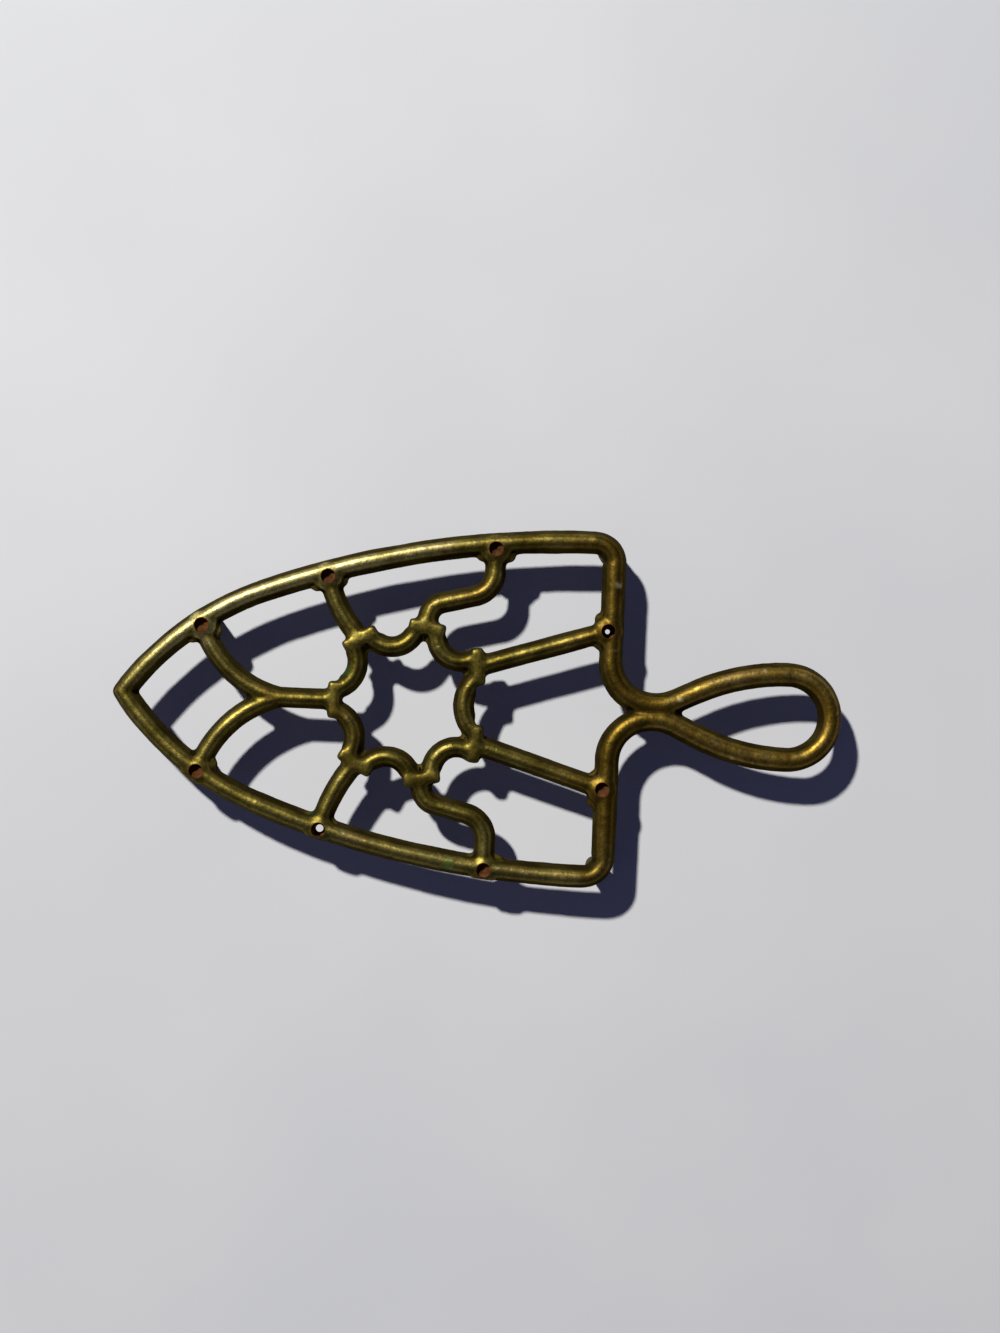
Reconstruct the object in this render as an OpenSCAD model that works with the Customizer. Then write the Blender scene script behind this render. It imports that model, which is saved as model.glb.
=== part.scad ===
// Cast brass stand for a flat iron: an open plate of crowned bars on four short feet, with a
// seven-sided star ring in the middle and a looped handle at the back.
// X runs from the nose to the handle, Y across, Z up. The origin lies under the middle of the
// overall length, on the surface that the feet stand on. Left and right are those of a hand
// that holds the handle with the nose ahead, so right is +Y.

/* [Plate] */
// Length of the plate from the nose to the outer face of the back rail
plate_len = 128.7; // [120:0.1:138]
// Width of the plate over both sides
plate_w = 90.4; // [84:0.1:98]
// Thickness of the rim from its flat underside to its crown
rim_t = 4.5; // [3.8:0.1:5.5]
// Width of the rim's underside along the sides and the back corners
side_w = 5.4; // [4.9:0.1:5.8]
// Width of the underside of the back rail and the handle
rim_w = 5.8; // [5.6:0.1:6.2]
// Height of the rim's round crown above its leaning walls
rim_crown = 0.6; // [0.45:0.05:1]
// Distance by which the walls of a full height bar lean in on each side
wall_lean = 1.4; // [1:0.05:1.6]
// Outer radius of each long side
side_r = 236; // [215:1:260]
// Angle that each long side turns through before the nose begins
side_turn = 21; // [19:0.5:23]
// Outer radius of each back corner
corner_r = 8; // [7:0.1:10]

/* [Handle] */
// Length of the handle from the outer face of the back rail to its end
handle_len = 56.2; // [50:0.1:62]
// Width of the handle over its round end
handle_w = 27.4; // [25:0.1:30]
// Width of the handle over its neck
neck_w = 10.4; // [9.4:0.1:11.2]
// Radius of the bend where each strand leaves the back rail
root_bend_r = 11; // [9.5:0.1:11.4]
// Radius of the bend where the strands part again after the neck
neck_bend_r = 12; // [10:0.5:13]

/* [Tracery] */
// Width of the underside of the tracery bars
bar_w = 5; // [4.6:0.1:5.2]
// Thickness of the tracery bars
bar_t = 4.1; // [3.4:0.1:4.3]
// Height of the tracery bars' round crown above their leaning walls
bar_crown = 0.5; // [0.4:0.05:0.9]
// Length of the short cross bar at each point of the star
cross_len = 8.8; // [8.2:0.1:9.4]
// Width of the cross bars
cross_w = 2.6; // [2.2:0.1:3.2]
// Height of the cross bars' flat tops above the tracery bars
cross_rise = 0.1; // [0:0.05:0.35]
// Radius of the outer bend of each scroll bar
scroll_outer_r = 6.5; // [5:0.1:7.5]
// Radius of the inner bend of each scroll bar
scroll_inner_r = 4.4; // [3.4:0.1:5]

/* [Drilled holes] */
// Diameter of the holes
hole_d = 3.6; // [3:0.1:3.9]
// Diameter of the round boss about each hole
boss_d = 7; // [6.6:0.1:7.6]
// Height of a boss above the rim's crown
boss_rise = 0.15; // [0.1:0.05:0.4]
// Depth of the blind holes' straight part, below the boss
blind_depth = 2; // [1.5:0.1:2.6]
// Distance of the side holes from the plate's outer edge, before they drift
hole_inset = 3.2; // [3.1:0.05:3.4]
// Distance of the back rail's holes from its outer face
back_hole_inset = 4; // [3.6:0.1:4.3]
// Distance by which all the side holes sit towards the left
hole_drift = 0.9; // [0:0.1:1]

/* [Feet] */
// Height of the plate's underside above the ground
stand_h = 14.2; // [10:0.1:18]
// Diameter of a foot where it leaves the plate
foot_top_d = 5; // [4.6:0.1:5.2]
// Diameter of a foot at the ground
foot_end_d = 4.3; // [3.8:0.1:4.8]

/* [Hidden] */
$fn = 96;
LEFT = -1;
RIGHT = 1;
// Overrun of every cut past the face that it cuts
over = 1;
// Spare turn, in degrees, of an arc that a plane then cuts
spare_turn = 2;
// Shortest straight that is drawn between two bends
least_run = 0.01;
// Swell of a bend's section past the straight bars that run into it, and the length of that lap
bend_swell = 0.05;
lap = 0.4;
// Inset of a boss from the plate's outer edge
boss_inset = 0.2;
// Length of the nose's point that is taken off
nose_blunt = 0.9;

// Ends of the plate and the handle
nose_x = -(plate_len + handle_len) / 2;
back_x = nose_x + plate_len;
handle_end_x = back_x + handle_len;
// Half the width, up to the outer face of the sides before their section is swollen
half_w = plate_w / 2 - bend_swell;
rail_x = back_x - rim_w / 2;

// Centre of each long side's arc, and the place where it gives way to the nose's arc
side_centre = [back_x - corner_r, half_w - side_r];
nose_start = side_centre + side_r * [-sin(side_turn), cos(side_turn)];
nose_inward = [sin(side_turn), -cos(side_turn)];
nose_chord = [nose_x - nose_blunt, 0] - nose_start;
// Radius of the arc that leaves the side smoothly and ends at the nose's point
nose_r = nose_chord * nose_chord / (2 * nose_chord * nose_inward);
nose_centre = nose_start + nose_r * nose_inward;
nose_turn = 2 * (atan2(-nose_chord[1], -nose_chord[0]) - side_turn);
corner_centre = [back_x - corner_r, half_w - corner_r];

// Places of the side holes, as shares of the plate's length from the nose
hole_x_shares = [0.157, 0.408, 0.74];
// Place of the back rail's holes, as a share of half the plate's width
back_hole_y_share = 0.443;
// End of the back rail, where the handle's strand begins, as a share of the same
rail_end_y_share = 0.35;
// Points of the star's right half from the front, as shares of the plate's length and half width
star_point_shares = [[0.435, 0], [0.482, 0.346], [0.613, 0.424], [0.716, 0.218]];
// Directions of the cross bars at those points, in degrees
cross_headings = [90, 31, -10, -84];
// Depth of each star side's curve, as shares of the plate's length, from the front to the back
star_side_depth_shares = [0.0265, 0.0335, 0.0345, 0.028];
// Place where the fork's arms join, as a share of the plate's length
fork_x_share = 0.3275;
// Depth of the curve of a fork arm and of a spoke, as shares of the plate's length
fork_depth_share = 0.0285;
spoke_depth_share = 0.009;
// Height of a scroll bar's outer and inner corner, as shares of half the plate's width
scroll_outer_y_share = 0.64;
scroll_inner_y_share = 0.55;
// Corner of the handle's strand behind the neck, and where it turns level, from the back face
neck_x_share = 0.191;
level_x_share = 0.54;
// Height of the strand's corner at the back rail, as a share of half the plate's width
root_y_share = 0.066;

// Point at a share of the plate's length and half width
function at(shares) = [nose_x + shares[0] * plate_len, shares[1] * half_w];
function flip(p, side) = [p[0], side * p[1]];
function unit(v) = v / norm(v);
function heading(a, b) = atan2(b[1] - a[1], b[0] - a[0]);
function ray(angle) = [cos(angle), sin(angle)];

// Outer edge of the plate at a place along it, and a point at a distance inside that edge
function edge_centre(x) = x > nose_start[0] ? side_centre : nose_centre;
function edge_r(x) = x > nose_start[0] ? side_r : nose_r;
function edge_point(x) =
    let (c = edge_centre(x), r = edge_r(x))
    [x, c[1] + sqrt(r * r - (x - c[0]) * (x - c[0]))];
function inset_point(x, inset) =
    let (p = edge_point(x))
    p + inset * unit(edge_centre(x) - p);

// Places of one side's three rim holes, counted from the front, and of its hole in the back rail
function station(i) = nose_x + hole_x_shares[i] * plate_len;
function rim_hole(i, side) =
    flip(inset_point(station(i), hole_inset), side) - [0, hole_drift];
function back_hole(side) = [back_x - back_hole_inset, side * back_hole_y_share * half_w];

// Points of the star, and the places beside them where the star's sides spring from the cross
// bar, which ends flush with their walls half way up
function star_point(i) = at(star_point_shares[i]);
function spring(i, end) =
    star_point(i) + end * (cross_len - bar_w + wall_lean) / 2 * ray(cross_headings[i]);

fork_point = at([fork_x_share, 0]);

// Section of a cast bar: a flat underside, walls that lean in and a round crown
module section(w, t, crown) {
    shoulder = w / 2 - wall_lean * (t - crown) / t;
    crown_r = (shoulder * shoulder + crown * crown) / (2 * crown);
    difference() {
        polygon([
            [-w / 2, 0],
            [w / 2, 0],
            [w / 2 - wall_lean, t],
            [wall_lean - w / 2, t]
        ]);
        difference() {
            translate([-w, t - (crown + crown_r) / 2]) square([2 * w, t]);
            translate([0, t - crown_r]) circle(crown_r);
        }
    }
}

module side_section(swell = 0) section(side_w + 2 * swell, rim_t + swell, rim_crown);
module rim_section(swell = 0) section(rim_w + 2 * swell, rim_t + swell, rim_crown);
module bar_section(swell = 0) section(bar_w + 2 * swell, bar_t + swell, bar_crown);
module cross_section() translate([-cross_w / 2, 0]) square([cross_w, bar_t + cross_rise]);

// What is drawn for the right side, on either side of the middle plane
module on_side(side) mirror([0, side == LEFT ? 1 : 0, 0]) children();

// Everything to the right of the middle plane, from the nose to a place along it
module right_half(end_x) {
    translate([nose_x, 0, 0]) cube([end_x - nose_x, plate_w, stand_h + rim_t + over]);
}

// Straight bar from one point to another
module straight(from, to) {
    translate([from[0], from[1], stand_h]) rotate(heading(from, to))
        rotate([90, 0, 90]) linear_extrude(norm(to - from)) children();
}

// Bar round a centre, from one angle through a turn
module arc(centre, r, start, turn) {
    translate([centre[0], centre[1], stand_h]) rotate(start)
        rotate_extrude(angle = turn) translate([r, 0]) children();
}

// Bar along an arc between two points, which stands off their chord by a depth to the right.
// It may run on past the second point through a spare turn.
module bow(from, to, depth, spare = 0) {
    chord = norm(to - from);
    r = (chord * chord / 4 + depth * depth) / (2 * depth);
    centre = (from + to) / 2 + (r - depth) * ray(heading(from, to) + 90);
    arc(centre, r, heading(centre, from), 2 * asin(chord / (2 * r)) + spare) children();
}

function turn_at(p, i) =
    let (d = heading(p[i], p[i + 1]) - heading(p[i - 1], p[i]))
    d > 180 ? d - 360 : d < -180 ? d + 360 : d;
// Length that the bend at a corner takes from each straight beside it
function taken(p, r, i) =
    i == 0 || i == len(p) - 1 ? 0 : r[i] * tan(abs(turn_at(p, i)) / 2);
function lap_turn(r) = lap / r * 180 / PI;

// Bar through a list of corners, each rounded with its own radius. The first child is the
// section of the straights, which run on into the bends, and the second that of the bends.
module bent(p, r) {
    last = len(p) - 1;
    for (i = [0 : last - 1]) {
        along = unit(p[i + 1] - p[i]);
        from = p[i] + along * taken(p, r, i);
        to = p[i + 1] - along * taken(p, r, i + 1);
        if (norm(to - from) > least_run)
            straight(from - along * (i > 0 ? lap : 0), to + along * (i + 1 < last ? lap : 0))
                children(0);
    }
    for (i = [1 : last - 1]) {
        turn = turn_at(p, i);
        way = heading(p[i - 1], p[i]);
        aside = sign(turn) * 90;
        begin = p[i] - taken(p, r, i) * ray(way);
        arc(begin + r[i] * ray(way + aside), r[i], way - aside + min(turn, 0), abs(turn))
            children(1);
    }
}

// Round crowned boss about a hole, kept inside the plate's outer edge
module boss(p, centre, r) {
    top = rim_t + boss_rise;
    intersection() {
        translate([p[0], p[1], stand_h]) rotate_extrude() intersection() {
            square([boss_d / 2, top]);
            translate([0, top - boss_d]) circle(boss_d);
        }
        translate([centre[0], centre[1], stand_h - over]) cylinder(h = top + 2 * over, r = r);
    }
}

module rim_boss(i, side) {
    x = station(i);
    boss(rim_hole(i, side), flip(edge_centre(x), side), edge_r(x) - boss_inset);
}

module through_hole(p) {
    translate([p[0], p[1], stand_h - over])
        cylinder(h = rim_t + boss_rise + 2 * over, d = hole_d);
}

// Hole that ends inside the bar in the cone of the drill's point
module blind_hole(p) {
    floor_z = rim_t + boss_rise - blind_depth;
    point_depth = hole_d / 4;
    mouth_z = rim_t + boss_rise + over;
    translate([p[0], p[1], stand_h]) rotate_extrude() polygon([
        [0, floor_z - point_depth],
        [hole_d / 2, floor_z],
        [hole_d / 2, mouth_z],
        [0, mouth_z]
    ]);
}

// One side of the rim, from the nose round the back corner, before its holes are drilled
module rim_body(side) {
    half_bar = side_w / 2;
    nose_lap = lap_turn(nose_r);
    corner_lap = lap_turn(corner_r - half_bar);
    on_side(side) {
        intersection() {
            arc(nose_centre, nose_r - half_bar, 90 + side_turn - nose_lap,
                nose_turn + nose_lap + spare_turn) side_section();
            right_half(back_x);
        }
        arc(side_centre, side_r - half_bar, 90, side_turn) side_section(bend_swell);
        arc(corner_centre, corner_r - half_bar, 0, 90 + corner_lap) side_section();
    }
    for (i = [0 : 2]) rim_boss(i, side);
}

// Both front and both back holes of the rim are blind. Of the middle pair, the left goes through.
module rim(side) {
    color("darkgoldenrod") difference() {
        rim_body(side);
        blind_hole(rim_hole(0, side));
        if (side == LEFT) through_hole(rim_hole(1, side));
        if (side == RIGHT) blind_hole(rim_hole(1, side));
        blind_hole(rim_hole(2, side));
    }
}

// Half of the back rail, from the corner to the root of the handle, before its hole is drilled
module rail_body(side) {
    on_side(side) straight([rail_x, corner_centre[1]], [rail_x, rail_end_y_share * half_w])
        rim_section();
    boss(back_hole(side), back_hole(side), boss_d);
}

// The left half has a blind hole, and the hole in the right half goes through
module back_rail(side) {
    color("darkgoldenrod") difference() {
        rail_body(side);
        if (side == LEFT) blind_hole(back_hole(side));
        if (side == RIGHT) through_hole(back_hole(side));
    }
}

// Strand of the handle from the back rail through the neck to the round end
module strand() {
    end_centre_x = handle_end_x - handle_w / 2;
    end_y = (handle_w - rim_w) / 2;
    start = [rail_x, rail_end_y_share * half_w];
    root = [rail_x, root_y_share * half_w];
    level = [back_x + level_x_share * handle_len, end_y];
    // The corner at the neck lies nearer the middle than the bar, by what its bend rounds off
    neck_x = back_x + neck_x_share * handle_len;
    half_turn = (heading([neck_x, 0], level) - heading(root, [neck_x, 0])) / 2;
    neck = [neck_x, (neck_w - rim_w) / 2 - neck_bend_r * (1 / cos(half_turn) - 1)];
    level_r = (end_centre_x - level[0]) / tan(heading(neck, level) / 2);
    bent([start, root, neck, level, [end_centre_x, end_y]],
        [0, root_bend_r, neck_bend_r, level_r, 0]) {
        rim_section();
        rim_section(bend_swell);
    }
}

module handle_loop() {
    end_r = (handle_w - rim_w) / 2;
    end_lap = lap_turn(end_r);
    color("darkgoldenrod") {
        on_side(LEFT) strand();
        on_side(RIGHT) strand();
        arc([handle_end_x - handle_w / 2, 0], end_r, -90 - end_lap, 180 + 2 * end_lap)
            rim_section();
    }
}

// Short cross bar on which a spoke ends and two sides of the star spring
module cross_bar(i, side) {
    half = cross_len / 2 * ray(cross_headings[i]);
    on_side(side) straight(star_point(i) - half, star_point(i) + half) cross_section();
}

// Everything from the inner face of a cross bar outwards, away from the star's middle
module beyond_cross(i) {
    translate([star_point(i)[0], star_point(i)[1], stand_h - over]) rotate(cross_headings[i])
        translate([-cross_len, -cross_w / 2, 0])
            cube([2 * cross_len, cross_w + bar_w, bar_t + 2 * over]);
}

module fork_stem() {
    color("darkgoldenrod") {
        straight(fork_point, star_point(0)) bar_section();
        cross_bar(0, RIGHT);
    }
}

// The holes are not alike on the two sides, so each arm, spoke and scroll has its own end point.
// The arms meet each other on the middle plane, and the stem where they join.
module fork_arm(side) {
    color("darkgoldenrod") difference() {
        on_side(side) intersection() {
            bow(flip(rim_hole(0, side), side), fork_point, fork_depth_share * plate_len,
                spare_turn) bar_section();
            right_half(fork_point[0]);
        }
        rim_body(side);
    }
}

module spoke(side) {
    color("darkgoldenrod") {
        difference() {
            on_side(side) bow(flip(rim_hole(1, side), side), star_point(1),
                spoke_depth_share * plate_len) bar_section();
            rim_body(side);
        }
        cross_bar(1, side);
    }
}

// S-shaped bar from the rim to the star: across the plate, forward, and across again
module scroll(side) {
    from = flip(rim_hole(2, side), side);
    to = star_point(2);
    color("darkgoldenrod") {
        difference() {
            on_side(side) bent([
                from,
                [from[0], scroll_outer_y_share * half_w],
                [to[0], scroll_inner_y_share * half_w],
                to
            ], [0, scroll_outer_r, scroll_inner_r, 0]) {
                bar_section();
                bar_section(bend_swell);
            }
            rim_body(side);
        }
        cross_bar(2, side);
    }
}

module tail_bar(side) {
    color("darkgoldenrod") {
        difference() {
            on_side(side) straight(star_point(3), back_hole(RIGHT)) bar_section();
            rail_body(side);
        }
        cross_bar(3, side);
    }
}

// Side of the star between two of its points, curved in towards the middle
module star_side(i, side) {
    color("darkgoldenrod") on_side(side) difference() {
        bow(spring(i, 1), spring(i + 1, -1), star_side_depth_shares[i] * plate_len)
            bar_section();
        beyond_cross(i);
        beyond_cross(i + 1);
    }
}

module back_star_side() {
    color("darkgoldenrod") difference() {
        bow(spring(3, 1), flip(spring(3, 1), LEFT), star_side_depth_shares[3] * plate_len)
            bar_section();
        beyond_cross(3);
        on_side(LEFT) beyond_cross(3);
    }
}

// Foot that tapers to the ground, under the middle of the rim
module foot(p) {
    color("darkgoldenrod") translate([p[0], p[1], 0])
        cylinder(h = stand_h, d1 = foot_end_d, d2 = foot_top_d);
}

module front_foot(side) foot(flip(inset_point(station(0), side_w / 2), side));
module back_foot(side) foot(flip(corner_centre + (corner_r - side_w / 2) * ray(45), side));

rim(LEFT);  // left_rim
rim(RIGHT);  // right_rim
back_rail(LEFT);  // left_back_rail
back_rail(RIGHT);  // right_back_rail
handle_loop();
fork_arm(LEFT);  // left_fork_arm
fork_arm(RIGHT);  // right_fork_arm
fork_stem();
spoke(LEFT);  // left_spoke
spoke(RIGHT);  // right_spoke
scroll(LEFT);  // left_scroll
scroll(RIGHT);  // right_scroll
tail_bar(LEFT);  // left_tail_bar
tail_bar(RIGHT);  // right_tail_bar
star_side(0, LEFT);  // front_left_star_side
star_side(0, RIGHT);  // front_right_star_side
star_side(1, LEFT);  // left_star_side
star_side(1, RIGHT);  // right_star_side
star_side(2, LEFT);  // rear_left_star_side
star_side(2, RIGHT);  // rear_right_star_side
back_star_side();
front_foot(LEFT);  // front_left_foot
front_foot(RIGHT);  // front_right_foot
back_foot(LEFT);  // back_left_foot
back_foot(RIGHT);  // back_right_foot
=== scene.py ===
# %% [markdown]
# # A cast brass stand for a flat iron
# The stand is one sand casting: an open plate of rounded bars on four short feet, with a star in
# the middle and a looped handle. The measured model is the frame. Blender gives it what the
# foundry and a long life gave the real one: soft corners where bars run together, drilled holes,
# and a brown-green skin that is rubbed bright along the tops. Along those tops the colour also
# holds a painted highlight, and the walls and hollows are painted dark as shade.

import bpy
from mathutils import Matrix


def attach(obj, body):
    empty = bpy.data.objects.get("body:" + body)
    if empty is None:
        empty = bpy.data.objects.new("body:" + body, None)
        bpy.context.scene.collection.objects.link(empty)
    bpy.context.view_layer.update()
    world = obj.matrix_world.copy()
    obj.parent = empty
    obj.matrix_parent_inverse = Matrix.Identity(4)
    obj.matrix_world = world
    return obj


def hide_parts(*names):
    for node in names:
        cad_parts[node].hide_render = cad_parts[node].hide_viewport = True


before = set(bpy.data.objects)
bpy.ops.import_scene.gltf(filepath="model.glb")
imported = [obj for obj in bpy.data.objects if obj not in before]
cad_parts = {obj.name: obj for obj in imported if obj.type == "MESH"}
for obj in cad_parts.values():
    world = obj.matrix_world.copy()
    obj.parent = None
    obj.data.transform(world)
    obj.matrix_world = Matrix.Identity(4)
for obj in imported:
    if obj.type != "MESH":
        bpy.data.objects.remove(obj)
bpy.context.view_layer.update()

# %% [markdown]
# ## Small helpers
# Every step below picks objects and applies modifiers. An operator works on whatever is
# selected, so one helper always clears the selection first. Lengths are written in millimetres
# and turned into metres by one factor.

# %% Helpers
import math

import bpy
import numpy as np
from mathutils import Vector
from mathutils.bvhtree import BVHTree

MM = 0.001


def pick(*things):
    bpy.ops.object.select_all(action="DESELECT")
    for thing in things:
        thing.select_set(True)
    bpy.context.view_layer.objects.active = things[0]


def shape(thing, kind, **settings):
    """Adds a modifier, sets it, and applies it."""
    modifier = thing.modifiers.new(kind.lower(), kind)
    for name, value in settings.items():
        setattr(modifier, name, value)
    pick(thing)
    bpy.ops.object.modifier_apply(modifier=modifier.name)


def points_of(mesh, what="co"):
    found = np.zeros(len(mesh.vertices) * 3)
    mesh.vertices.foreach_get(what, found)
    return found.reshape(-1, 3)


# %% [markdown]
# ## The camera
# The photograph looks straight down from about half a metre, turned by a little over two
# degrees. A lens of 51 mm on a 36 mm sensor gives the plate the size that it has there.

# %% Camera
SENSOR, LENS = 36, 51.42           # mm
CAMERA_PLACE = (5.24, 10.05, 499)  # mm
CAMERA_TURN = 2.285                # degrees

camera_data = bpy.data.cameras.new("camera")
camera_data.sensor_width = SENSOR
camera_data.lens = LENS
camera = bpy.data.objects.new("camera", camera_data)
bpy.context.scene.collection.objects.link(camera)
camera.location = [length * MM for length in CAMERA_PLACE]
camera.rotation_euler = (0, 0, math.radians(CAMERA_TURN))
bpy.context.scene.camera = camera
print("camera at", tuple(round(v, 4) for v in camera.location))

# %% [markdown]
# ## Node maths that reads like sums
# A finish is a long sum of masks and noises. Wiring each Math node by hand hides the idea, so one
# small class wraps a socket: `1 - mask * 0.5` on it adds the nodes. Any other node comes from
# one method, which takes the node's type, its settings and its sockets.

# %% A socket that can be added and multiplied
class Wire:
    def __init__(self, tree, socket):
        self.tree = tree
        self.socket = socket

    def node(self, kind, settings=None, sockets=None, out=0):
        made = self.tree.nodes.new(kind)
        for name, value in (settings or {}).items():
            setattr(made, name, value)
        for name, value in (sockets or {}).items():
            if isinstance(value, Wire):
                self.tree.links.new(value.socket, made.inputs[name])
            else:
                made.inputs[name].default_value = value
        return Wire(self.tree, made.outputs[out])

    def math(self, operation, other, third=0.0):
        return self.node("ShaderNodeMath", {"operation": operation},
                         {0: self, 1: other, 2: third})

    def __add__(self, other):
        return self.math("ADD", other)

    def __radd__(self, other):
        return self.math("ADD", other)

    def __sub__(self, other):
        return self.math("SUBTRACT", other)

    def __rsub__(self, other):
        return self.math("MULTIPLY_ADD", -1.0, other)

    def __mul__(self, other):
        return self.math("MULTIPLY", other)

    def __rmul__(self, other):
        return self.math("MULTIPLY", other)

    def step(self, low, high):
        """0 below low, 1 above high, and a soft step between."""
        return self.node("ShaderNodeMapRange", {"interpolation_type": "SMOOTHSTEP"},
                         {"Value": self, "From Min": low, "From Max": high})


def blend(factor, first, second):
    """A colour that goes from the first to the second as the factor goes from 0 to 1."""
    return factor.node("ShaderNodeMix", {"data_type": "RGBA"},
                       {0: factor, 6: first, 7: second}, out=2)


def new_finish(name):
    """A material with nothing but its output, and a Wire to start the first node from."""
    finish = bpy.data.materials.new(name)
    finish.use_nodes = True
    tree = finish.node_tree
    tree.nodes.clear()
    return finish, Wire(tree, tree.nodes.new("ShaderNodeOutputMaterial").inputs["Surface"])


# %% [markdown]
# ## The floor
# A pale painted board, as light as the one in the photograph. Paint is never quite even, so a
# very faint large cloud keeps it from looking like an empty page.

# %% Floor
FLOOR_SIZE = 4  # metres
PAINT_DARK, PAINT_LIGHT = (0.60, 0.60, 0.595, 1), (0.64, 0.635, 0.625, 1)

bpy.ops.object.select_all(action="DESELECT")
bpy.ops.mesh.primitive_plane_add(size=FLOOR_SIZE, location=(0, 0, 0))
floor = bpy.context.object
floor.name = "floor"
paint, start = new_finish("floor_paint")
place = start.node("ShaderNodeTexCoord", out="Object")
cloud = start.node("ShaderNodeTexNoise", sockets={"Vector": place, "Scale": 9.0, "Detail": 3.0})
board = blend(cloud.step(0.3, 0.7), PAINT_DARK, PAINT_LIGHT)
paint_surface = start.node("ShaderNodeBsdfPrincipled",
                           sockets={"Base Color": board, "Roughness": 0.6})
start.tree.links.new(paint_surface.socket, start.socket)
floor.data.materials.append(paint)
print("floor:", FLOOR_SIZE, "m wide")

# %% [markdown]
# ## Light
# The photograph has sun from the top left, about 55 degrees up. A studio lamp takes its place
# there. It stands far enough off to light the floor evenly, and it is small enough to give the
# bars a bright line along their tops and a clear shadow. A weak blue sky fills in all round.

# %% Lamps
def lamp(name, place, size, watts):
    """A round lamp that points at the middle of the stand. Lengths are in metres."""
    data = bpy.data.lights.new(name, "AREA")
    data.shape = "DISK"
    data.size = size
    data.energy = watts
    made = bpy.data.objects.new(name, data)
    bpy.context.scene.collection.objects.link(made)
    made.location = place
    made.rotation_euler = Vector(place).to_track_quat("Z", "Y").to_euler()
    print(name, watts, "W at", place)


SKY_COLOUR, SKY_STRENGTH = (0.38, 0.42, 1, 1), 0.082

lamp("key_lamp", (-0.83, 1.11, 1.96), 0.11, 67)
lamp("fill_lamp", (-0.60, -0.45, 0.75), 0.9, 0.12)
world = bpy.data.worlds.new("studio")
world.use_nodes = True
sky = world.node_tree.nodes["Background"].inputs
sky["Color"].default_value = SKY_COLOUR
sky["Strength"].default_value = SKY_STRENGTH
bpy.context.scene.world = world
bpy.context.scene.view_settings.view_transform = "Standard"

# %% [markdown]
# ## Gathering the pattern
# A founder presses one wooden pattern into the sand, so all the bars leave the mould as one
# piece. Here a copy of each member's mesh is joined into one. The holes are plugged first,
# because on the real stand they are drilled after casting, and their edges must stay crisp.

# %% Copies of the members, and plugs in their holes
FOOT_TOP = 14.2    # height of the plate's underside, in mm
PLATE_DEPTH = 4.5  # from there to the top, in mm
HOLE_RADIUS = 1.8
PLUG_RADIUS = 1.9
WELD = 0.001       # points closer than this become one
HOLES = {  # place across the plate, in mm
    "front_right": (-70.43, 17.57), "front_left": (-70.43, -19.37),
    "middle_right": (-39.02, 31.12), "middle_left": (-39.02, -32.92),
    "rear_right": (3.13, 39.69), "rear_left": (3.13, -41.49),
    "back_right": (32.25, 20.0), "back_left": (32.25, -20.0),
}
member_names = sorted(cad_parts)
gathered = []
for name in member_names:
    twin = bpy.data.objects.new("copy_of_" + name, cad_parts[name].data.copy())
    bpy.context.scene.collection.objects.link(twin)
    gathered.append(twin)
pick(*gathered)
bpy.ops.object.mode_set(mode="EDIT")
bpy.ops.mesh.select_all(action="SELECT")
bpy.ops.mesh.remove_doubles(threshold=WELD * MM)
bpy.ops.object.mode_set(mode="OBJECT")
for x, y in HOLES.values():
    bpy.ops.object.select_all(action="DESELECT")
    bpy.ops.mesh.primitive_cylinder_add(
        vertices=48, radius=PLUG_RADIUS * MM, depth=PLATE_DEPTH * MM,
        location=(x * MM, y * MM, (FOOT_TOP + PLATE_DEPTH / 2) * MM))
    gathered.append(bpy.context.object)
print("gathered", len(gathered), "solids")

# %% [markdown]
# Where a bar ends beside a hole, the real casting has little lumps: the ears of the pattern,
# swollen by the sand. They are small flattened balls, which the next step melts into the bars.

# %% Cast lumps beside the holes
LUMP_HEIGHT = 1.5    # of a lump's middle over the plate's underside, in mm
LUMP_SQUASH = 0.75
LUMPS = [  # place across the plate and radius, in mm
    (-73.0, 14.9, 1.7), (-67.4, 16.4, 1.6), (-73.2, -16.8, 1.7), (-67.2, -17.6, 1.6),
    (-41.9, 29.1, 1.6), (-35.9, 30.3, 1.6), (-42.2, -30.4, 1.7), (-35.8, -32.0, 1.6),
    (-0.1, 38.3, 1.6), (6.4, 38.3, 1.6), (-0.2, -39.5, 1.7), (6.5, -39.5, 1.6),
    (30.6, 23.0, 1.6), (30.4, 17.0, 1.6), (30.6, -17.0, 1.6), (30.4, -23.0, 1.6),
]
for x, y, radius in LUMPS:
    bpy.ops.object.select_all(action="DESELECT")
    bpy.ops.mesh.primitive_ico_sphere_add(subdivisions=3, radius=radius * MM,
                                          location=(x * MM, y * MM,
                                                    (FOOT_TOP + LUMP_HEIGHT) * MM),
                                          scale=(1, 1, LUMP_SQUASH))
    gathered.append(bpy.context.object)
print("lumps:", len(LUMPS))

# %% [markdown]
# ## Pouring it in one
# A voxel remesh turns the overlapping solids into one skin, as metal fills a mould. Molten metal
# leaves no sharp inner corner, so the skin is swollen until the corners run together, remeshed,
# and drawn back: webs are left between the bars. A smooth modifier softens the arrises, as a
# file and a few decades of use did on the real one. It also thins the bars, so the skin is drawn
# back by a little less than it was swollen.

# %% Join, remesh and smooth
WEB = 0.8    # how far the skin is swollen, in mm
SKIN = 0.34  # how far it stays out, to make up for the smoothing
VOXEL = 0.3

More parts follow.
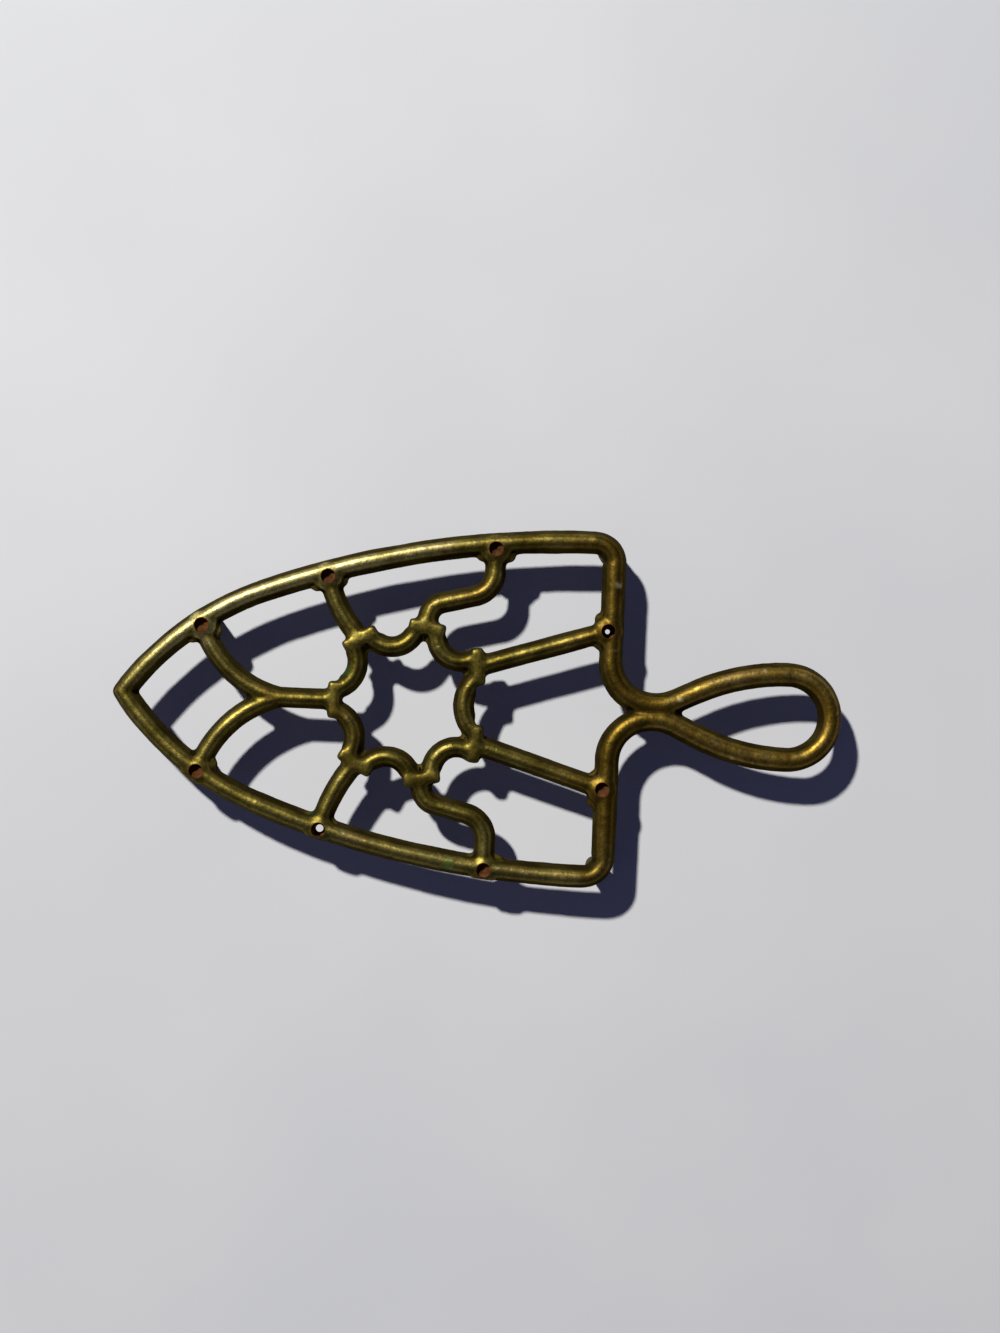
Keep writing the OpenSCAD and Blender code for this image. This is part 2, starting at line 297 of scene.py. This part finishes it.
pick(*gathered)
bpy.ops.object.join()
casting = bpy.context.object
casting.name = "casting"
shape(casting, "REMESH", mode="VOXEL", voxel_size=VOXEL * MM)
shape(casting, "SMOOTH", factor=0.5, iterations=1)
shape(casting, "DISPLACE", direction="NORMAL", mid_level=0, strength=WEB * MM)
shape(casting, "REMESH", mode="VOXEL", voxel_size=VOXEL * MM)
shape(casting, "SMOOTH", factor=0.5, iterations=2)
shape(casting, "DISPLACE", direction="NORMAL", mid_level=0, strength=(SKIN - WEB) * MM)
shape(casting, "REMESH", mode="VOXEL", voxel_size=VOXEL * MM)
shape(casting, "SMOOTH", factor=0.5, iterations=3)
print("casting:", len(casting.data.vertices), "points after the remesh")

# %% [markdown]
# The cross bars of the star stand proud, and the nose is what knocks against things. Both are
# rubbed down the most. A Smooth modifier with a vertex group works on the places named in the
# group and on no others.

# %% Soften the crossings and the nose
CROSSINGS = [(-36.5, 0), (-30.4, 15.6), (-30.4, -15.6), (-13.6, 19.1), (-13.6, -19.1),
             (-0.3, 9.8), (-0.3, -9.8)]
NOSE = (-91.8, 0)
CROSSING_REACH, NOSE_REACH = 5.6, 3.2  # how far round each the skin is softened, in mm
CROSSING_LOW = 2.2                     # the skin below this height over the underside stays
SOFTENING = 26                         # rounds of smoothing


def gap_to(points, places):
    """Each point's distance across the plate from the nearest of some places, in mm."""
    return np.min([np.hypot(points[:, 0] / MM - x, points[:, 1] / MM - y) for x, y in places], 0)


co = points_of(casting.data)
proud = (gap_to(co, CROSSINGS) < CROSSING_REACH) & (co[:, 2] > (FOOT_TOP + CROSSING_LOW) * MM)
proud |= gap_to(co, [NOSE]) < NOSE_REACH
group = casting.vertex_groups.new(name="proud")
group.add(np.flatnonzero(proud).tolist(), 1.0, "REPLACE")
shape(casting, "SMOOTH", factor=0.5, iterations=SOFTENING, vertex_group="proud")
print("softened points:", int(proud.sum()))

# %% [markdown]
# No sand casting is even. Two Displace modifiers push the skin in and out along its normals: a
# wide cloud for the hand that dressed the bars, and a small one for the sand.

# %% Uneven surface
for name, size, depth in (("dressing", 13, 0.30), ("sand", 1.6, 0.05)):
    cloud = bpy.data.textures.new(name, "CLOUDS")
    cloud.noise_scale = size * MM
    cloud.noise_depth = 1
    shape(casting, "DISPLACE", texture=cloud, texture_coords="LOCAL", direction="NORMAL",
          mid_level=0.5, strength=depth * MM)
    print(name, "pushes the skin by up to", depth / 2, "mm")

# %% [markdown]
# The feet were filed flat, so every point near the ground is pressed back to it.

# %% Feet filed flat
SOLE = 0.35  # mm

pick(casting)
low = points_of(casting.data)[:, 2] < SOLE * MM
casting.data.vertices.foreach_set("select", low)
casting.data.edges.foreach_set("select", np.zeros(len(casting.data.edges), bool))
casting.data.polygons.foreach_set("select", np.zeros(len(casting.data.polygons), bool))
bpy.ops.object.mode_set(mode="EDIT")
bpy.ops.mesh.select_mode(type="VERT")
bpy.ops.transform.resize(value=(1, 1, 0), center_override=(0, 0, 0))
bpy.ops.object.mode_set(mode="OBJECT")
print("points on the ground:", int(low.sum()))

# %% [markdown]
# ## Drilling
# A drill is a cylinder with a cone for its point. One is made with its bottom face pulled down
# and merged to a point, and a Boolean takes all eight out of the casting at once. Six stop
# inside the bar. In the other two the point of the drill just breaks through below, so each
# shows a small light spot at the bottom of a dark hole.

# %% Drill the holes
DRILL_TOP = 21     # well above the plate, in mm
BLIND_END = 3.35   # where the drill's full width ends, over the plate's underside
THROUGH_ENDS = {"middle_left": 0.25, "back_right": 0.48}
POINT_DEPTH = 1.08

drills = []
for name, (x, y) in HOLES.items():
    bottom = FOOT_TOP + THROUGH_ENDS.get(name, BLIND_END)
    bpy.ops.object.select_all(action="DESELECT")
    bpy.ops.mesh.primitive_cylinder_add(
        vertices=64, radius=HOLE_RADIUS * MM, depth=(DRILL_TOP - bottom) * MM,
        location=(x * MM, y * MM, (DRILL_TOP + bottom) / 2 * MM))
    drill = bpy.context.object
    bpy.ops.object.mode_set(mode="EDIT")
    bpy.ops.mesh.select_all(action="DESELECT")
    bpy.ops.object.mode_set(mode="OBJECT")
    for face in drill.data.polygons:
        face.select = face.normal.z < -0.9
    bpy.ops.object.mode_set(mode="EDIT")
    bpy.ops.mesh.extrude_region_move(TRANSFORM_OT_translate={"value": (0, 0, -POINT_DEPTH * MM)})
    bpy.ops.mesh.merge(type="CENTER")
    bpy.ops.object.mode_set(mode="OBJECT")
    drills.append(drill)
pick(*drills)
bpy.ops.object.join()
drill = bpy.context.object
shape(casting, "BOOLEAN", operation="DIFFERENCE", object=drill, solver="EXACT")
bpy.data.objects.remove(drill)
print("casting:", len(casting.data.vertices), "points after drilling")

# %% [markdown]
# ## Where it wears and where it is painted dark
# Hands and hot irons rub what stands out, and the hollows are painted dark as shade. Both follow
# from the shape. Each point is compared with a much smoother copy of the skin: what lies outside
# it is a ridge, and what lies inside it is a hollow. Beside a hole and on a crossing that measure
# is thrown off by the hole's edge and the extra metal, so there it is held to a narrow range. The
# result is kept on the mesh as numbers that the finish can read.

# %% Ridges, hollows and drilled walls
SPREAD, CALM = 40, 3           # rounds of averaging, for the smooth copy and for the result
# The rest are in mm: the whole range, then how far the held ranges reach and how high they go
DEEPEST, HIGHEST = -0.6, 0.45
HOLE_LAND, HOLE_RIDGE = 2.8, 0.10
CROSSING_LAND, CROSSING_RIDGE, CROSSING_LIFT = 3.5, 0.11, 0.06
FADE = 2                       # from a held range to a free one
DRILLED_RADIUS = 1.87          # what lies nearer to a hole's axis is its wall or its end
DRILLED_LOW = 0.05             # and reaches this far below the plate's underside

mesh = casting.data
co = points_of(mesh)
normals = points_of(mesh, "normal")
ends = np.zeros(len(mesh.edges) * 2, np.int32)
mesh.edges.foreach_get("vertices", ends)
ends = ends.reshape(-1, 2)
near = np.bincount(ends.ravel(), minlength=len(co)).clip(1)


def averaged(values, times):
    """Each point's value, mixed over and over with those of the points beside it."""
    for _ in range(times):
        total = np.zeros_like(values)
        for axis in range(values.shape[1]):
            total[:, axis] = (np.bincount(ends[:, 0], values[ends[:, 1], axis], len(co))
                              + np.bincount(ends[:, 1], values[ends[:, 0], axis], len(co)))
        values = 0.5 * values + 0.5 * total / near[:, None]
    return values


standing_out = ((co - averaged(co, SPREAD)) * normals).sum(1) / MM
standing_out = averaged(standing_out[:, None], CALM)[:, 0].clip(DEEPEST, HIGHEST)
axis_gap = gap_to(co, HOLES.values())
hole_free = ((axis_gap - HOLE_LAND) / FADE).clip(0, 1)
standing_out = np.minimum(standing_out, HOLE_RIDGE + (HIGHEST - HOLE_RIDGE) * hole_free)
near_crossing = (1 - (gap_to(co, CROSSINGS) - CROSSING_LAND) / FADE).clip(0, 1)
held = (standing_out + CROSSING_LIFT).clip(0, CROSSING_RIDGE)
standing_out += near_crossing * (held - standing_out)
drilled = (axis_gap < DRILLED_RADIUS) & (co[:, 2] > (FOOT_TOP - DRILLED_LOW) * MM)
for name, values in (("ridge", standing_out), ("drilled", drilled.astype(float)),
                     ("facing_up", normals[:, 2])):
    mesh.attributes.new(name, "FLOAT", "POINT").data.foreach_set("value", values.astype(np.float32))
print("ridge from", np.percentile(standing_out, [1, 10, 50, 90, 99]).round(3), "mm")

# %% [markdown]
# ## Back to its members
# The casting is one metal, yet each bar has a name and a job. So the skin is divided among the
# members: every face goes to the member of the measured model that lies nearest to it. Cut
# edges are closed with a cap that no one sees, and a Data Transfer modifier gives each piece the
# undivided casting's normals, so that light runs over the cuts as if they weren't there.

# %% Give every face to its nearest member
corner_points, corner_faces, owner = [], [], []
for number, name in enumerate(member_names):
    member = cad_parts[name].data
    first = len(corner_points)
    corner_points.extend(v.co.copy() for v in member.vertices)
    for face in member.polygons:
        corner_faces.append([first + v for v in face.vertices])
        owner.append(number)
nearest = BVHTree.FromPolygons(corner_points, corner_faces)
share = np.array([owner[nearest.find_nearest(face.center)[2]] for face in mesh.polygons],
                 np.int32)
print("faces shared out:", len(share))

# %% [markdown]
# Shared out like that, the borders between members are ragged. A face that most of its
# neighbours outvote goes over to them, six times over, with nearly one vote for staying.

# %% Even out the borders
VOTES = 6
STAY = 0.9

loop_edge = np.zeros(len(mesh.loops), np.int32)
mesh.loops.foreach_get("edge_index", loop_edge)
loop_face = np.repeat(np.arange(len(mesh.polygons)), [face.loop_total for face in mesh.polygons])
order = np.argsort(loop_edge, kind="stable")
same = loop_edge[order][1:] == loop_edge[order][:-1]
pairs = np.stack([loop_face[order][:-1][same], loop_face[order][1:][same]], 1)
for _ in range(VOTES):
    votes = np.zeros((len(mesh.polygons), len(member_names)), np.float32)
    votes[np.arange(len(share)), share] += STAY
    np.add.at(votes, (pairs[:, 0], share[pairs[:, 1]]), 1)
    np.add.at(votes, (pairs[:, 1], share[pairs[:, 0]]), 1)
    share = votes.argmax(1).astype(np.int32)
counts = np.bincount(share, minlength=len(member_names)).tolist()
print("faces by member:", dict(zip(member_names, counts)))

# %% [markdown]
# The members' faces get a material each, by which the skin is separated. An undivided copy is
# kept for its normals.

# %% Divide the casting
whole = casting.copy()
whole.data = casting.data.copy()
bpy.context.scene.collection.objects.link(whole)
casting.data.materials.clear()
for name in member_names:
    casting.data.materials.append(bpy.data.materials.new("part_" + name))
casting.data.polygons.foreach_set("material_index", share)
pick(casting)
bpy.ops.object.mode_set(mode="EDIT")
bpy.ops.mesh.select_all(action="SELECT")
bpy.ops.mesh.separate(type="MATERIAL")
bpy.ops.object.mode_set(mode="OBJECT")
members = {}
for thing in list(bpy.context.selected_objects):
    number = thing.data.polygons[0].material_index
    name = thing.data.materials[min(number, len(thing.data.materials) - 1)].name
    members[name.removeprefix("part_")] = thing
print("divided into", len(members), "members")

# %% [markdown]
# ## The skin of old brass
# Up close the real stand is four things at once. Under all of it is yellow brass. Over that
# lies a brown-olive skin, thicker in some places than in others. The tops have lost it and shine
# pale gold, and a painted highlight along the crests is laid over that wear. The walls and the
# underside are dull, and they are painted darker still as shade. The hollows are painted nearly
# black as shade. So the finish is made in that order, and each layer is laid over the last
# with a mask. Masks come from the ridge numbers on the mesh, from which way the skin faces, and
# from noise.

# %% Noise
brass, start = new_finish("aged_brass")
place = start.node("ShaderNodeTexCoord", out="Object")
ridge = start.node("ShaderNodeAttribute", {"attribute_name": "ridge"}, out="Fac")
upward = start.node("ShaderNodeAttribute", {"attribute_name": "facing_up"}, out="Fac")
in_hole = start.node("ShaderNodeAttribute", {"attribute_name": "drilled"}, out="Fac")


def noise(size, detail, roughness, shift=0.0):
    """Noise whose blobs are about so many millimetres wide."""
    moved = place.node("ShaderNodeVectorMath", {"operation": "ADD"},
                       {0: place, 1: (shift, shift * 0.7, shift * 0.3)})
    return place.node("ShaderNodeTexNoise", sockets={
        "Vector": moved, "Scale": 1 / (size * MM), "Detail": detail, "Roughness": roughness})


patches = noise(19, 3.0, 0.6)
blotches = noise(6.5, 4.0, 0.6, shift=0.3)
mottle = noise(2.2, 4.0, 0.65, shift=0.6)
grain = noise(0.55, 3.0, 0.6, shift=0.9)
specks = noise(0.9, 2.0, 0.5, shift=1.3)
scratch_place = place.node("ShaderNodeMapping", sockets={"Vector": place, "Scale": (1, 9, 4)})
scratches = place.node("ShaderNodeTexNoise", sockets={
    "Vector": scratch_place, "Scale": 420.0, "Detail": 4.0, "Roughness": 0.7})
print("noises: patches, blotches, mottle, specks, grain and scratches")

# %% [markdown]
# Places on the plate come first: the front of the right rim, which faces the lamp, gets the most
# rubbed metal and painted highlight, the left rim a little, the back rail least, and everything
# behind the star is warmer in colour. Then come the masks that follow the shape.

# %% Masks
across = place.node("ShaderNodeSeparateXYZ", sockets={"Vector": place}, out=1) * (1 / MM)
along = place.node("ShaderNodeSeparateXYZ", sockets={"Vector": place}, out=0) * (1 / MM)
# The front of the right rim faces the lamp: this mask gives it rubbed metal and a painted
# highlight. The next mask gives the left rim a little of both.
handled_and_lit = (across - along * 0.45).step(36, 48)
left_side = 1 - across.step(-36, -26)
back = along.step(25, 31) * (1 - along.step(40, 46))
rear = along.step(12, 36)
top = upward.step(0.45, 0.97)
crest = ridge.step(0.02, 0.26) * top
worn = (ridge + (blotches - 0.5) * 0.20 + (mottle - 0.5) * 0.14
        + handled_and_lit * 0.10 + left_side * 0.08 + rear * 0.04 - back * 0.10).step(0.08, 0.38) * top
# Pale gold along the crests: partly rubbed metal, partly a painted highlight.
wear_and_highlight = (ridge + (patches - 0.5) * 0.45 + (mottle - 0.5) * 0.16
               + handled_and_lit * 0.30 + left_side * 0.14 + rear * 0.18 - back * 0.26
               ).step(0.30, 0.58) * top
hollow = 1 - (ridge + (mottle - 0.5) * 0.06).step(-0.20, 0.0)
walls = 1 - upward.step(0.30, 0.78)
slopes = upward.step(0.40, 0.60) * (1 - upward.step(0.80, 0.97))
# Painted shade: the hollows found from the ridge numbers are painted nearly black.
hollow_shade = (hollow * (0.5 + blotches * 0.9)).step(0.10, 0.9)
print("masks for the tops, the hollows, the walls and the grime")

# %% [markdown]
# Now the layers. The skin comes first, then what has been rubbed off it together with the painted
# highlight on the crests, then the walls darkened with painted shade, the painted shade in the
# hollows and the rust in the holes.

# %% Colours, laid one over the other
OLIVE_DARK, OLIVE = (0.074, 0.055, 0.008, 1), (0.195, 0.150, 0.027, 1)
RUSTY = (0.150, 0.068, 0.010, 1)
WARM = (0.205, 0.112, 0.012, 1)
TAN = (0.42, 0.25, 0.050, 1)
BROWN = (0.060, 0.036, 0.005, 1)
SOOT = (0.030, 0.025, 0.004, 1)
GOLD_FRONT, GOLD_REAR = (0.33, 0.275, 0.090, 1), (0.43, 0.315, 0.095, 1)
# The pale gold of the crests is wear with a painted highlight in it.
BRIGHT = (0.66, 0.57, 0.26, 1)
PIT = (0.040, 0.031, 0.006, 1)
SPECK = (0.62, 0.53, 0.26, 1)
# The wall colours are the dull skin, darkened further as painted shade.
WALL_DARK, WALL = (0.030, 0.022, 0.006, 1), (0.055, 0.042, 0.012, 1)
# The near-black of the hollows is painted shade.
HOLLOW_SHADE = (0.014, 0.010, 0.004, 1)
RUST_DARK, RUST = (0.060, 0.022, 0.008, 1), (0.13, 0.052, 0.018, 1)

skin = blend(blotches.step(0.30, 0.70), OLIVE_DARK, OLIVE)
skin = blend(patches.step(0.48, 0.70) * mottle.step(0.3, 0.6) * 0.6, skin, RUSTY)
skin = blend(rear * 0.6, skin, WARM)
tan = rear * blotches.step(0.46, 0.64) * mottle.step(0.36, 0.58)
skin = blend(tan * 0.55, skin, TAN)
skin = blend(back * 0.6, skin, BROWN)
skin = blend(mottle.step(0.46, 0.66) * 0.75, skin, SOOT)
rubbed = blend(worn * 0.6, skin, blend(rear, GOLD_FRONT, GOLD_REAR))
# Laid on here: the pale gold of the tops, partly wear and partly painted highlight.
rubbed = blend(wear_and_highlight * 0.55, rubbed, BRIGHT)
rubbed = blend(grain.step(0.50, 0.66) * 0.5, rubbed, PIT)
rubbed = blend(specks.step(0.58, 0.70) * worn * 0.5, rubbed, SPECK)
# Painted shade: every steep wall is darkened, so the flanks away from the lamp go black.
dull_and_shaded = blend(walls, rubbed, blend(blotches.step(0.35, 0.65), WALL_DARK, WALL))
# The painted shade in the hollows is laid on here.
dull_and_shaded = blend(hollow_shade, dull_and_shaded, HOLLOW_SHADE)
colour = blend(in_hole, dull_and_shaded, blend(mottle.step(0.35, 0.65), RUST_DARK, RUST))
print("colours:", len(brass.node_tree.nodes), "nodes so far")

# %% [markdown]
# A few marks sit in one place each: two green stains and a third one that hardly shows, and
# pale specks on the back rail and the handle.

# %% Marks that sit in one place
VERDIGRIS = (0.045, 0.125, 0.030, 1)
PALE = (0.62, 0.50, 0.26, 1)
SOFT, RAGGED = 0.6, 1.6  # of a mark's edge, as shares of its radius


def spot(x, y, radius):
    """1 inside a round mark on the plate, 0 outside it, with a ragged edge."""
    flat = place.node("ShaderNodeVectorMath", {"operation": "MULTIPLY"}, {0: place, 1: (1, 1, 0)})
    far = place.node("ShaderNodeVectorMath", {"operation": "DISTANCE"},
                     {0: flat, 1: (x * MM, y * MM, 0)}, out=1)
    ragged = far * (1 / MM) + (mottle - 0.5) * (RAGGED * radius)
    return 1 - ragged.step(radius * (1 - SOFT), radius * (1 + SOFT))


verdigris = (spot(-5.9, -40.4, 1.3) * 0.6 + spot(-33.6, 7.4, 1.2) * 0.35
             + spot(-41.0, -28.6, 0.9) * 0.2)
colour = blend(verdigris.math("MINIMUM", 1.0), colour, VERDIGRIS)
pale_specks = (spot(90.4, 1.7, 0.55) + spot(64.6, -10.6, 0.5) + spot(69.8, -11.9, 0.4)
               + spot(34.3, 31.8, 0.9) + spot(34.2, 15.6, 0.6) + spot(51.0, 3.2, 0.8)
               + spot(72.0, 11.6, 0.5))
pale_specks = (pale_specks * mottle.step(0.42, 0.62)).math("MINIMUM", 1.0)
colour = blend(pale_specks * 0.8, colour, PALE)
print("marks:", len(brass.node_tree.nodes), "nodes so far")

# %% [markdown]
# Bare metal is smoother than its skin, and the hollows that are painted dark as shade are
# rougher. Those hollows and the skin on the walls and slopes also take away from how metallic the
# surface is. The tint of the edges is dark, so that steep walls don't mirror the pale floor.

# %% Shine and relief
SKIN_ROUGHNESS, LEAST_ROUGHNESS = 0.44, 0.2
SKIN_METAL = 0.96
RELIEF_STRENGTH, RELIEF_DEPTH = 0.6, 0.11  # the depth is in mm
EDGE_TINT = (0.42, 0.40, 0.35, 1)

bare = worn * 0.5 + wear_and_highlight * 0.5
roughness = (SKIN_ROUGHNESS + handled_and_lit * 0.05 - crest * 0.08 - bare * 0.10 + hollow_shade * 0.25
             - walls * 0.12 + (mottle - 0.5) * 0.2 + in_hole * 0.12 + (scratches - 0.5) * 0.10
             ).math("MAXIMUM", LEAST_ROUGHNESS)
metallic = (SKIN_METAL - hollow_shade * 0.35 - walls * 0.50 - slopes * 0.35 - verdigris * 0.5
            ).math("MAXIMUM", 0.0)
height = grain * 0.45 + mottle * 0.55 + scratches * 0.25 - bare * 0.2
relief = height.node("ShaderNodeBump", sockets={
    "Height": height, "Strength": RELIEF_STRENGTH, "Distance": RELIEF_DEPTH * MM})
surface = height.node("ShaderNodeBsdfPrincipled", sockets={
    "Base Color": colour, "Roughness": roughness, "Metallic": metallic, "Normal": relief,
    "IOR": 1.5, "Specular IOR Level": 0.0, "Specular Tint": EDGE_TINT})
start.tree.links.new(surface.socket, start.socket)
print("aged_brass has", len(brass.node_tree.nodes), "nodes")

# %% [markdown]
# ## Closing, smoothing and hanging the members on the frame
# Each piece gets its caps, the finish, and the casting's normals. Then it is named after the
# member it stands for, that member is hidden, and the piece is hung on the body it rides on. The
# stand has no moving parts, so there is one body.

# %% Which way out is
def volume(piece):
    """The volume inside a closed mesh, which is below zero if its faces point inwards."""
    piece.update_from_editmode()
    piece.data.calc_loop_triangles()
    corners = np.zeros(len(piece.data.loop_triangles) * 3, np.int32)
    piece.data.loop_triangles.foreach_get("vertices", corners)
    a, b, c = points_of(piece.data)[corners].reshape(-1, 3, 3).transpose(1, 0, 2)
    return float((a * np.cross(b, c)).sum()) / 6


# %% [markdown]
# A mesh that was cut open and capped can come out inside out. Its volume tells.

# %% Finish every member
metal = 0.0
for name, piece in sorted(members.items()):
    piece.name = "cast_" + name
    piece.data.name = piece.name
    piece.data.materials.clear()
    piece.data.materials.append(brass)
    pick(piece)
    bpy.ops.object.mode_set(mode="EDIT")
    bpy.ops.mesh.select_all(action="SELECT")
    bpy.ops.mesh.fill_holes(sides=0)
    bpy.ops.mesh.select_all(action="SELECT")
    bpy.ops.mesh.normals_make_consistent(inside=False)
    bpy.ops.mesh.quads_convert_to_tris()
    if volume(piece) < 0:
        bpy.ops.mesh.flip_normals()
    bpy.ops.object.mode_set(mode="OBJECT")
    bpy.ops.object.shade_smooth()
    metal += volume(piece)
    shape(piece, "DATA_TRANSFER", object=whole, use_loop_data=True,
          data_types_loops={"CUSTOM_NORMAL"}, loop_mapping="NEAREST_POLYNOR")
    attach(piece, "root")
    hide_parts(name)
bpy.data.objects.remove(whole)
triangles = sum(len(piece.data.polygons) for piece in members.values())
print("metal:", round(metal / MM ** 3), "mm3, triangles:", triangles)
